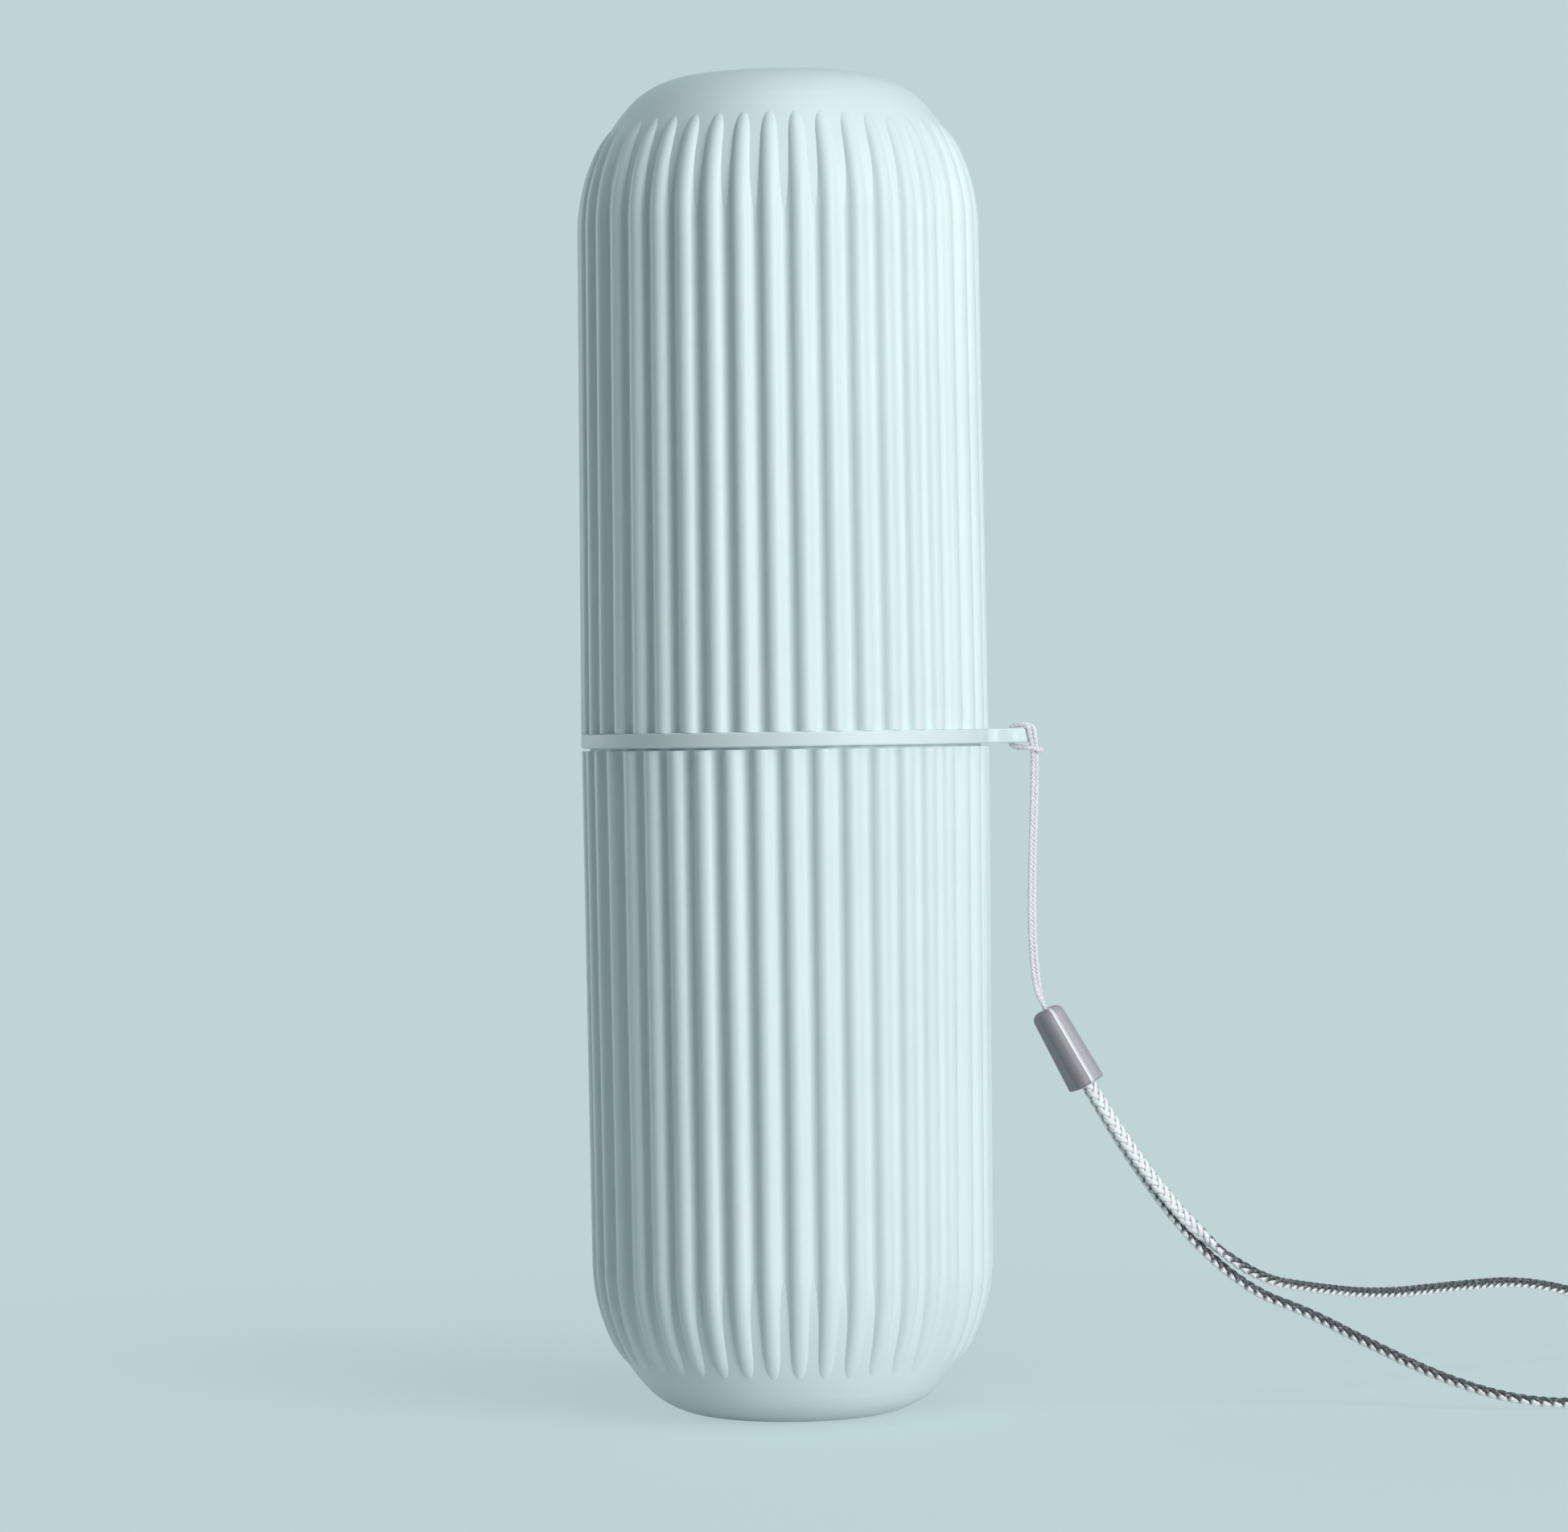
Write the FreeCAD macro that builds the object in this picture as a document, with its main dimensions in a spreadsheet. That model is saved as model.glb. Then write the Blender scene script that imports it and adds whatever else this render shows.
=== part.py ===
import FreeCAD, Part
import math
import os

import Sketcher

# Travel case for a toothbrush: two ribbed halves that push together, a flat ring between them with an ear,
# and a wrist lanyard hitched through the ear. Z is the case's axis, the origin is the middle of its foot and
# the ear points along +X.

# Driving sizes in millimetres and degrees: name, value, what it measures.
driving_sizes = [
    ("crest_diameter", 62.0, "over the ribs at the mouth of each half"),
    ("cover_height", 99.0, "cover, from its rim to its top"),
    ("cup_height", 101.0, "cup, from its foot to the ring's seat"),
    ("shoulder_radius", 26.6, "round between the wall and the dome, in the valleys"),
    ("shoulder_turn", 42.0, "turn of that round"),
    ("dome_radius", 13.0, "round between the shoulder and the flat end"),
    ("wall_draft", 0.5, "how much the wall leans in between the rim and the shoulder"),
    ("rim_wall", 3.4, "wall at the rim, ribs included"),
    ("end_thickness", 2.1, "dome and closed end"),
    ("rib_count", 42, "ribs round each half"),
    ("rib_height", 1.1, "from the valley to the top of a rib"),
    ("rib_round", 1.6, "round top of a rib"),
    ("rib_gap", 0.26, "bare wall between two ribs at the rim"),
    ("rib_toe", 12.0, "slope at which a rib's hollow side meets the wall"),
    ("rib_root", 0.5, "how far a rib reaches into the wall"),
    ("rib_bend", 28.0, "radius of a rib's crest line over the shoulder"),
    ("rib_bend_turn", 25.0, "turn of that bend"),
    ("rib_bend_drop", 23.4, "from the closed end to the start of that bend"),
    ("rib_tip_bend", 13.0, "radius at which the crest line sinks into the dome"),
    ("rib_tip_turn", 25.0, "turn of that second bend, until the rib's end is inside the wall"),
    ("cover_turn", 1.79, "turn of the cover's ribs about the axis"),
    ("cup_turn", -2.64, "turn of the cup's ribs about the axis"),
    ("cut_overrun", 2.0, "how far every cut runs past the solid"),
    ("neck_wall", 1.0, "wall of the cup's neck"),
    ("neck_engagement", 12.0, "length of the neck inside the cover"),
    ("neck_clearance", 0.25, "gap round the neck in the cover's socket"),
    ("socket_spare", 0.8, "socket beyond the end of the neck"),
    ("lip_chamfer", 0.5, "lead-in at the neck's lip and the socket's mouth"),
    ("bead_count", 2, "push-fit beads round the neck"),
    ("bead_height", 0.2, "push-fit bead above the neck"),
    ("bead_width", 1.4, "push-fit bead along the neck"),
    ("bead_drop", 3.2, "from the neck's lip to the first bead"),
    ("bead_pitch", 4.2, "from bead to bead"),
    ("shadow_gap", 0.4, "depth of the dark joint under the ring"),
    ("shadow_land", 0.25, "how far the ring's seat stays inside the valleys"),
    ("ring_height", 2.2, "ring and ear"),
    ("ring_clearance", 0.3, "gap between the ring and the neck"),
    ("ring_round", 0.3, "rounded edges of the ring, the ear and its hole"),
    ("ear_reach", 33.6, "from the axis to the middle of the ear's hole"),
    ("ear_width", 7.0, "ear"),
    ("ear_hole_diameter", 3.0, "hole in the ear"),
    ("ear_blend", 2.0, "fillet where the ear leaves the ring"),
    ("string_diameter", 0.8, "thin string"),
    ("cord_diameter", 1.6, "braided wrist cord"),
    ("cord_gap", 0.1, "between the two cord ends in the clip"),
    ("clip_foot_reach", 45.1, "X of the middle of the clip's lower end"),
    ("clip_foot_height", 48.95, "Z of the middle of the clip's lower end"),
    ("clip_lean", 28.5, "lean of the clip from upright"),
    ("clip_twist", 70.0, "turn of the clip about its own length"),
    ("clip_length", 13.0, "clip"),
    ("clip_foot_width", 5.8, "clip at its lower end"),
    ("clip_foot_thickness", 4.9, "clip at its lower end, both shells"),
    ("clip_head_width", 4.8, "clip at its upper end"),
    ("clip_head_thickness", 4.3, "clip at its upper end, both shells"),
    ("clip_corner", 1.5, "rounded corners along the clip"),
    ("clip_head_round", 1.3, "rounded edges of the clip's upper end"),
    ("clip_foot_round", 0.35, "rounded edges of the clip's lower end"),
    ("clip_edge_break", 0.18, "chamfer of each shell along the parting line"),
    ("clip_lip", 1.0, "end wall below the crimp"),
    ("clip_play", 0.1, "gap round what lies in the clip"),
    ("string_channel", 6.8, "length of the string's channel in the clip"),
    ("string_spread", 1.0, "between the two strands in the clip"),
    ("crimp_length", 2.6, "metal band round the cord ends"),
    ("crimp_wall", 0.25, "metal band"),
    ("crimp_play", 0.05, "gap between the band and the cord"),
]

# Routes of the two cords, from end to end, in millimetres.
string_route = [
    (41.69, -0.47, 55.62), (37.86, -0.47, 62.65), (37.05, -0.47, 71.5), (37.20, -0.48, 82.0),
    (37.62, -0.50, 91.0), (37.90, -0.50, 97.8), (37.90, -0.50, 103.95), (34.25, -0.50, 103.95),
    (34.25, -0.50, 100.25), (37.00, -1.45, 100.25), (39.05, -1.45, 99.90),
    (39.05, 1.45, 99.90), (37.00, 1.45, 100.25), (34.25, 0.50, 100.25),
    (34.25, 0.50, 103.95), (37.90, 0.50, 103.95), (37.90, 0.50, 97.8), (37.62, 0.50, 91.0),
    (37.20, 0.48, 82.0), (37.05, 0.47, 71.5), (37.56, 0.47, 62.49), (41.39, 0.47, 55.46),
]
cord_route = [
    (43.60, -0.80, 52.32), (46.93, -0.80, 46.18), (54.4, -0.75, 34.7), (62.2, -0.5, 25.4),
    (71.2, 0.7, 18.8), (79.8, 9.0, 16.5), (91.5, 21.0, 14.0), (104.5, 33.5, 13.8), (118.5, 45.0, 13.4),
    (135.5, 55.5, 7.6), (152.5, 60.0, 0.8), (167.0, 51.0, 0.8), (173.0, 35.0, 0.8), (168.5, 17.0, 0.8),
    (154.5, 3.5, 0.8), (138.0, -5.5, 0.8), (122.0, -11.0, 0.8), (109.5, -12.4, 1.2), (98.0, -9.4, 4.3),
    (87.0, -4.4, 9.4), (78.0, -1.2, 14.0), (70.0, -0.7, 17.0), (61.4, 0.5, 24.1), (53.7, 0.75, 34.1),
    (46.42, 0.80, 45.91), (43.09, 0.80, 52.05),
]
bend_share = 0.45

# Share of a small size within which an edge counts as lying where it is looked for.
near_share = 0.1

document = FreeCAD.newDocument("toothbrush_case")
sheet = document.addObject("Spreadsheet::Sheet", "Sizes")
for row, (alias, number, note) in enumerate(driving_sizes, start=1):
    sheet.set(f"A{row}", note)
    sheet.set(f"B{row}", str(number))
    sheet.setAlias(f"B{row}", alias)
document.recompute()

# Sizes that follow from the driving ones, as expressions on the sheet.
crest = "(Sizes.crest_diameter / 2)"
mouth = f"({crest} - Sizes.rim_wall)"
valley = f"({crest} - Sizes.rib_height)"
arc_step = "(Sizes.shoulder_radius - Sizes.dome_radius)"
flat = f"({valley} - Sizes.wall_draft - Sizes.shoulder_radius + {arc_step} * cos(Sizes.shoulder_turn))"
neck = f"({mouth} + Sizes.neck_wall)"
neck_length = "(Sizes.ring_height + Sizes.neck_engagement)"
socket = f"({neck} + Sizes.neck_clearance)"
cord_offset = "((Sizes.cord_diameter + Sizes.cord_gap) / 2)"
crimp_bore = "(Sizes.cord_diameter / 2 + Sizes.crimp_play)"
crimp_outside = f"({crimp_bore} + Sizes.crimp_wall)"
crimp_start = "(Sizes.clip_lip + Sizes.clip_play)"
chamber_end = f"({crimp_start} + Sizes.crimp_length + Sizes.clip_play)"

across = FreeCAD.Vector(1, 0, 0)
away = FreeCAD.Vector(0, 1, 0)
up = FreeCAD.Vector(0, 0, 1)


def value(expression):
    return float(sheet.evalExpression(expression))


def origin_part(body, role):
    return next(part for part in body.Origin.OriginFeatures if part.Role == role)


def sketch_on(body, role, name):
    sketch = body.newObject("Sketcher::SketchObject", name)
    sketch.AttachmentSupport = (origin_part(body, role), [""])
    sketch.MapMode = "FlatFace"
    return sketch


def bind(sketch, kind, *place, to):
    # A dimension of the sketch that follows an expression.
    number = sketch.addConstraint(Sketcher.Constraint(kind, *place, value(to)))
    sketch.setExpression(f"Constraints[{number}]", to)


def pin_point(sketch, edge, end, x, y):
    # Ties one end of an edge to a place given by two expressions.
    for kind, axis, place in (("DistanceX", -2, x), ("DistanceY", -1, y)):
        if place == "0":
            sketch.addConstraint(Sketcher.Constraint("PointOnObject", edge, end, axis))
        else:
            bind(sketch, kind, -1, 1, edge, end, to=place)


def spot(x, y):
    return FreeCAD.Vector(value(x), value(y), 0)


def draw_outline(sketch, corners):
    # Closed outline of straight edges, each corner an (x, y) pair of expressions.
    places = [spot(x, y) for x, y in corners]
    first = sketch.GeometryCount
    for number, place in enumerate(places):
        following = places[(number + 1) % len(places)]
        sketch.addGeometry(Part.LineSegment(place, following), False)
    for number, (x, y) in enumerate(corners):
        before = first + (number - 1) % len(corners)
        sketch.addConstraint(Sketcher.Constraint("Coincident", before, 2, first + number, 1))
        pin_point(sketch, first + number, 1, x, y)


def draw_circle(sketch, x, y, radius):
    circle = Part.Circle(spot(x, y), up, value(radius))
    number = sketch.addGeometry(circle, False)
    pin_point(sketch, number, 3, x, y)
    bind(sketch, "Radius", number, to=radius)


def draw_stadium(sketch, reach, radius):
    # Two half circles on the X axis, joined by straight edges.
    middle_right = spot(reach, "0")
    middle_left = -middle_right
    size = value(radius)
    first = sketch.GeometryCount
    rise = away * size
    edges = [
        Part.ArcOfCircle(Part.Circle(middle_right, up, size), -math.pi / 2, math.pi / 2),
        Part.LineSegment(middle_right + rise, middle_left + rise),
        Part.ArcOfCircle(Part.Circle(middle_left, up, size), math.pi / 2, 3 * math.pi / 2),
        Part.LineSegment(middle_left - rise, middle_right - rise),
    ]
    sketch.addGeometry(edges, False)
    for number in range(len(edges)):
        following = first + (number + 1) % len(edges)
        sketch.addConstraint(Sketcher.Constraint("Tangent", first + number, 2, following, 1))
    for number in (first, first + 2):
        sketch.addConstraint(Sketcher.Constraint("PointOnObject", number, 3, -1))
    bind(sketch, "DistanceX", -1, 1, first, 3, to=reach)
    bind(sketch, "DistanceX", first + 2, 3, -1, 1, to=reach)
    bind(sketch, "Radius", first, to=radius)


def revolve(body, kind, sketch, name):
    feature = body.newObject(kind, name)
    feature.Profile = sketch
    feature.ReferenceAxis = (sketch, ["V_Axis"])
    feature.Angle = 360
    return feature


def plain_half(name, height):
    # One half as a plain turned shell, with its rim at local zero and its end up. Wall, shoulder, dome and
    # flat end run into each other without an edge, inside and out.
    body = document.addObject("PartDesign::Body", name)
    section = sketch_on(body, "XZ_Plane", f"{name}_section")
    thickness = value("Sizes.end_thickness")
    dome = value("Sizes.dome_radius")
    shoulder = value("Sizes.shoulder_radius")
    turn = math.radians(value("Sizes.shoulder_turn"))
    dome_middle = spot(flat, f"{height} - Sizes.dome_radius")
    shoulder_middle = dome_middle - FreeCAD.Vector(math.cos(turn), math.sin(turn), 0) * (shoulder - dome)
    top_middle = spot("0", height)
    rim_outside = spot(valley, "0")
    rim_inside = spot(mouth, "0")
    inner_top = dome_middle + away * (dome - thickness)
    inner_middle = FreeCAD.Vector(0, inner_top.y, 0)
    section.addGeometry([
        Part.LineSegment(top_middle, dome_middle + away * dome),
        Part.ArcOfCircle(Part.Circle(dome_middle, up, dome), turn, math.pi / 2),
        Part.ArcOfCircle(Part.Circle(shoulder_middle, up, shoulder), 0, turn),
        Part.LineSegment(shoulder_middle + across * shoulder, rim_outside),
        Part.LineSegment(rim_outside, rim_inside),
        Part.LineSegment(rim_inside, shoulder_middle + across * (shoulder - thickness)),
        Part.ArcOfCircle(Part.Circle(shoulder_middle, up, shoulder - thickness), 0, turn),
        Part.ArcOfCircle(Part.Circle(dome_middle, up, dome - thickness), turn, math.pi / 2),
        Part.LineSegment(inner_top, inner_middle),
        Part.LineSegment(inner_middle, top_middle),
    ], False)
    end_line, dome_arc, shoulder_arc, wall, rim = range(5)
    inner_wall, inner_shoulder, inner_dome, inner_end, axis = range(5, 10)
    for first, first_end, second, second_end in (
        (end_line, 2, dome_arc, 2),
        (dome_arc, 1, shoulder_arc, 2),
        (shoulder_arc, 1, wall, 1),
        (inner_wall, 2, inner_shoulder, 1),
        (inner_shoulder, 2, inner_dome, 1),
        (inner_dome, 2, inner_end, 1),
    ):
        section.addConstraint(Sketcher.Constraint("Tangent", first, first_end, second, second_end))
    for first, second in ((wall, rim), (rim, inner_wall), (inner_end, axis), (axis, end_line)):
        section.addConstraint(Sketcher.Constraint("Coincident", first, 2, second, 1))
    section.addConstraint(Sketcher.Constraint("Coincident", inner_dome, 3, dome_arc, 3))
    section.addConstraint(Sketcher.Constraint("Coincident", inner_shoulder, 3, shoulder_arc, 3))
    section.addConstraint(Sketcher.Constraint("Horizontal", end_line))
    section.addConstraint(Sketcher.Constraint("Horizontal", inner_end))
    section.addConstraint(Sketcher.Constraint("PointOnObject", axis, 1, -2))
    pin_point(section, end_line, 1, "0", height)
    pin_point(section, rim, 1, valley, "0")
    pin_point(section, rim, 2, mouth, "0")
    bind(section, "DistanceX", -1, 1, dome_arc, 3, to=flat)
    bind(section, "DistanceX", shoulder_arc, 3, dome_arc, 3, to=f"{arc_step} * cos(Sizes.shoulder_turn)")
    bind(section, "Radius", dome_arc, to="Sizes.dome_radius")
    bind(section, "Radius", shoulder_arc, to="Sizes.shoulder_radius")
    bind(section, "DistanceY", inner_end, 2, end_line, 1, to="Sizes.end_thickness")
    revolve(body, "PartDesign::Revolution", section, f"{name}_shell")
    return body


def add_ribs(body, name, height):
    # One rib swept up the wall by its crest line, which bends over the shoulder and sinks into the dome, so
    # that the rib narrows to a point there. The rib is repeated round the axis.
    path = sketch_on(body, "XZ_Plane", f"{name}_crest_line")
    bend = value("Sizes.rib_bend")
    tip_bend = value("Sizes.rib_tip_bend")
    turn = math.radians(value("Sizes.rib_bend_turn"))
    tip_turn = math.radians(value("Sizes.rib_tip_turn"))
    bend_x = f"{crest} - Sizes.wall_draft - Sizes.rib_bend"
    bend_y = f"{height} - Sizes.rib_bend_drop"
    middle = spot(bend_x, bend_y)
    tip_middle = middle + FreeCAD.Vector(math.cos(turn), math.sin(turn), 0) * (bend - tip_bend)
    path.addGeometry([
        Part.LineSegment(spot(crest, "0"), middle + across * bend),
        Part.ArcOfCircle(Part.Circle(middle, up, bend), 0, turn),
        Part.ArcOfCircle(Part.Circle(tip_middle, up, tip_bend), turn, turn + tip_turn),
    ], False)
    wall, shoulder, tip = range(3)
    path.addConstraint(Sketcher.Constraint("Tangent", wall, 2, shoulder, 1))
    path.addConstraint(Sketcher.Constraint("Tangent", shoulder, 2, tip, 1))
    pin_point(path, wall, 1, crest, "0")
    pin_point(path, shoulder, 3, bend_x, bend_y)
    bind(path, "Radius", shoulder, to="Sizes.rib_bend")
    bind(path, "Radius", tip, to="Sizes.rib_tip_bend")
    for arc, size in ((shoulder, "rib_bend_turn"), (tip, "rib_tip_turn")):
        span = path.addConstraint(Sketcher.Constraint("Angle", arc, math.radians(value(f"Sizes.{size}"))))
        path.setExpression(f"Constraints[{span}]", f"Sizes.{size} * 1 deg")

    # Section of the rib: a round top between two hollow sides, on a root inside the wall.
    half = f"({valley} * sin(180 / Sizes.rib_count) - Sizes.rib_gap / 2)"
    toe_x = f"sqrt({valley} ^ 2 - {half} ^ 2)"
    top_x = f"({crest} - Sizes.rib_round)"
    rise = f"({toe_x} - {top_x})"
    lean = f"({rise} * cos(Sizes.rib_toe) + {half} * sin(Sizes.rib_toe))"
    side_radius = f"(({rise} ^ 2 + {half} ^ 2 - Sizes.rib_round ^ 2) / (2 * (Sizes.rib_round - {lean})))"
    root_x = f"({toe_x} - Sizes.rib_root)"
    toe_slope = math.radians(value("Sizes.rib_toe"))
    hollow = value(side_radius)
    top_middle = spot(top_x, "0")
    toe = spot(toe_x, half)
    side_middle = toe + FreeCAD.Vector(math.cos(toe_slope), math.sin(toe_slope), 0) * hollow
    top_slope = math.atan2(side_middle.y, side_middle.x - top_middle.x)

    section = sketch_on(body, "XY_Plane", f"{name}_rib_section")
    round_top = Part.ArcOfCircle(Part.Circle(top_middle, up, value("Sizes.rib_round")), -top_slope, top_slope)
    section.addGeometry(round_top, False)
    root_ends = []
    for side in (1, -1):
        mirrored = FreeCAD.Vector(side_middle.x, side * side_middle.y, 0)
        low, high = sorted((math.pi + side * toe_slope, math.pi + side * top_slope))
        arc = section.addGeometry(Part.ArcOfCircle(Part.Circle(mirrored, up, hollow), low, high), False)
        toe_end, top_end = (1, 2) if side > 0 else (2, 1)
        foot = FreeCAD.Vector(toe.x, side * toe.y, 0)
        root = FreeCAD.Vector(value(root_x), foot.y, 0)
        line = section.addGeometry(Part.LineSegment(foot, root), False)
        section.addConstraint(Sketcher.Constraint("Tangent", 0, top_end, arc, top_end))
        section.addConstraint(Sketcher.Constraint("Coincident", arc, toe_end, line, 1))
        section.addConstraint(Sketcher.Constraint("Horizontal", line))
        bind(section, "Radius", arc, to=side_radius)
        sign = "" if side > 0 else "-"
        pin_point(section, line, 1, toe_x, f"{sign}{half}")
        bind(section, "DistanceX", -1, 1, line, 2, to=root_x)
        root_ends.append((line, root))
    (upper_line, upper_root), (lower_line, lower_root) = root_ends
    base = section.addGeometry(Part.LineSegment(upper_root, lower_root), False)
    section.addConstraint(Sketcher.Constraint("Coincident", upper_line, 2, base, 1))
    section.addConstraint(Sketcher.Constraint("Coincident", lower_line, 2, base, 2))
    section.addConstraint(Sketcher.Constraint("PointOnObject", 0, 3, -1))
    bind(section, "Radius", 0, to="Sizes.rib_round")

    rib = body.newObject("PartDesign::AdditivePipe", f"{name}_rib")
    rib.Profile = section
    rib.Spine = path
    pattern = body.newObject("PartDesign::PolarPattern", f"{name}_ribs")
    pattern.Originals = [rib]
    pattern.Axis = (origin_part(body, "Z_Axis"), [""])
    pattern.Angle = 360
    pattern.setExpression("Occurrences", "Sizes.rib_count")
    body.Tip = pattern


def ribbed_half(name, height):
    body = plain_half(name, height)
    add_ribs(body, name, height)
    return body


def build_upper_cover():
    body = ribbed_half("upper_cover", "Sizes.cover_height")
    cut = sketch_on(body, "XZ_Plane", "socket_section")
    depth = "(Sizes.neck_engagement + Sizes.socket_spare)"
    draw_outline(cut, [
        ("0", "-Sizes.cut_overrun"),
        (f"{socket} + Sizes.lip_chamfer", "-Sizes.cut_overrun"),
        (f"{socket} + Sizes.lip_chamfer", "0"),
        (socket, "Sizes.lip_chamfer"),
        (socket, depth),
        (mouth, f"{depth} + {socket} - {mouth}"),
        ("0", f"{depth} + {socket} - {mouth}"),
    ])
    body.Tip = revolve(body, "PartDesign::Groove", cut, "socket")
    raised = "vector(0; 0; Sizes.cup_height + Sizes.ring_height)"
    body.setExpression("Placement", f"placement({raised}; rotationz(Sizes.cover_turn))")
    return body


def build_lower_cup():
    body = ribbed_half("lower_cup", "Sizes.cup_height")
    seat = f"({valley} - Sizes.shadow_land)"
    cut = sketch_on(body, "XZ_Plane", "shadow_section")
    draw_outline(cut, [
        (seat, "-Sizes.cut_overrun"),
        (f"{crest} + Sizes.cut_overrun", "-Sizes.cut_overrun"),
        (f"{crest} + Sizes.cut_overrun", "Sizes.shadow_gap"),
        (seat, "Sizes.shadow_gap"),
    ])
    revolve(body, "PartDesign::Groove", cut, "shadow_joint")

    collar = sketch_on(body, "XZ_Plane", "neck_section")
    draw_outline(collar, [
        (mouth, "Sizes.neck_wall"),
        (mouth, f"-{neck_length}"),
        (f"{neck} - Sizes.lip_chamfer", f"-{neck_length}"),
        (neck, f"Sizes.lip_chamfer - {neck_length}"),
        (neck, "Sizes.neck_wall"),
    ])
    revolve(body, "PartDesign::Revolution", collar, "neck")
    beads = sketch_on(body, "XZ_Plane", "bead_section")
    for number in range(round(value("Sizes.bead_count"))):
        place = f"(Sizes.bead_drop + {number} * Sizes.bead_pitch - {neck_length})"
        draw_outline(beads, [
            (f"{neck} - Sizes.neck_wall / 2", f"{place} - Sizes.bead_width / 2"),
            (neck, f"{place} - Sizes.bead_width / 2"),
            (f"{neck} + Sizes.bead_height", f"{place} - Sizes.bead_height / 2"),
            (f"{neck} + Sizes.bead_height", f"{place} + Sizes.bead_height / 2"),
            (neck, f"{place} + Sizes.bead_width / 2"),
            (f"{neck} - Sizes.neck_wall / 2", f"{place} + Sizes.bead_width / 2"),
        ])
    body.Tip = revolve(body, "PartDesign::Revolution", beads, "push_fit_beads")
    upside_down = "rotationz(Sizes.cup_turn) * rotationx(180)"
    body.setExpression("Placement", f"placement(vector(0; 0; Sizes.cup_height); {upside_down})")
    return body


def edge_names(feature, wanted):
    return [f"Edge{number}" for number, edge in enumerate(feature.Shape.Edges, start=1) if wanted(edge)]


def dress(body, kind, feature, name, size, wanted):
    # Rounds or chamfers those edges of a feature that are wanted.
    document.recompute()
    dressing = body.newObject(kind, name)
    dressing.Base = (feature, edge_names(feature, wanted))
    dressing.setExpression("Radius" if kind == "PartDesign::Fillet" else "Size", size)
    return dressing


def pad(body, sketch, name, length):
    feature = body.newObject("PartDesign::Pad", name)
    feature.Profile = sketch
    feature.setExpression("Length", length)
    return feature


def build_strap_ring():
    body = document.addObject("PartDesign::Body", "strap_ring")
    hoop = sketch_on(body, "XY_Plane", "hoop_section")
    draw_circle(hoop, "0", "0", crest)
    draw_circle(hoop, "0", "0", f"{neck} + Sizes.ring_clearance")
    pad(body, hoop, "hoop", "Sizes.ring_height")

    tab = sketch_on(body, "XY_Plane", "ear_section")
    root = f"(({crest} + {neck} + Sizes.ring_clearance) / 2)"
    half = "Sizes.ear_width / 2"
    corners = [spot(root, half), spot(root, f"-{half}"), spot("Sizes.ear_reach", f"-{half}"),
               spot("Sizes.ear_reach", half)]
    tab.addGeometry([
        Part.LineSegment(corners[3], corners[0]),
        Part.LineSegment(corners[0], corners[1]),
        Part.LineSegment(corners[1], corners[2]),
        Part.ArcOfCircle(Part.Circle(spot("Sizes.ear_reach", "0"), up, value(half)), -math.pi / 2, math.pi / 2),
    ], False)
    for first, second in ((0, 1), (1, 2)):
        tab.addConstraint(Sketcher.Constraint("Coincident", first, 2, second, 1))
    tab.addConstraint(Sketcher.Constraint("Tangent", 2, 2, 3, 1))
    tab.addConstraint(Sketcher.Constraint("Tangent", 3, 2, 0, 1))
    pin_point(tab, 1, 1, root, half)
    pin_point(tab, 1, 2, root, f"-{half}")
    pin_point(tab, 3, 3, "Sizes.ear_reach", "0")
    pad(body, tab, "ear", "Sizes.ring_height")
    document.recompute()

    hole = sketch_on(body, "XY_Plane", "ear_hole_section")
    draw_circle(hole, "Sizes.ear_reach", "0", "Sizes.ear_hole_diameter / 2")
    cut = body.newObject("PartDesign::Pocket", "ear_hole")
    cut.Profile = hole
    cut.Type = "ThroughAll"
    cut.Midplane = True

    outside = value(crest)
    reach = value("Sizes.ear_reach")
    width = value("Sizes.ear_width")
    height = value("Sizes.ring_height")
    tolerance = near_share * value("Sizes.ring_round")

    def at_ear_root(edge):
        middle = edge.CenterOfMass
        upright = edge.BoundBox.ZLength > height / 2
        return upright and abs(middle.x - math.sqrt(outside ** 2 - width ** 2 / 4)) < tolerance

    fillet = "PartDesign::Fillet"
    blended = dress(body, fillet, cut, "ear_blends", "Sizes.ear_blend", at_ear_root)

    def round_the_ear(edge):
        level = edge.BoundBox.ZLength < tolerance
        return level and edge.BoundBox.XMin > reach - width / 2

    body.Tip = dress(body, fillet, blended, "ring_edges", "Sizes.ring_round", round_the_ear)
    body.setExpression("Placement.Base.z", "Sizes.cup_height")
    return body


def clip_placement(half_turn):
    # The clip's own frame: X across both cord ends, Y from its foot to its head, Z towards the front shell.
    foot = "vector(Sizes.clip_foot_reach; 0; Sizes.clip_foot_height)"
    hang = "rotationy(-Sizes.clip_lean) * rotationz(-Sizes.clip_twist) * rotationx(90)"
    return f"placement({foot}; {hang} * rotationy({half_turn}))"


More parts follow.
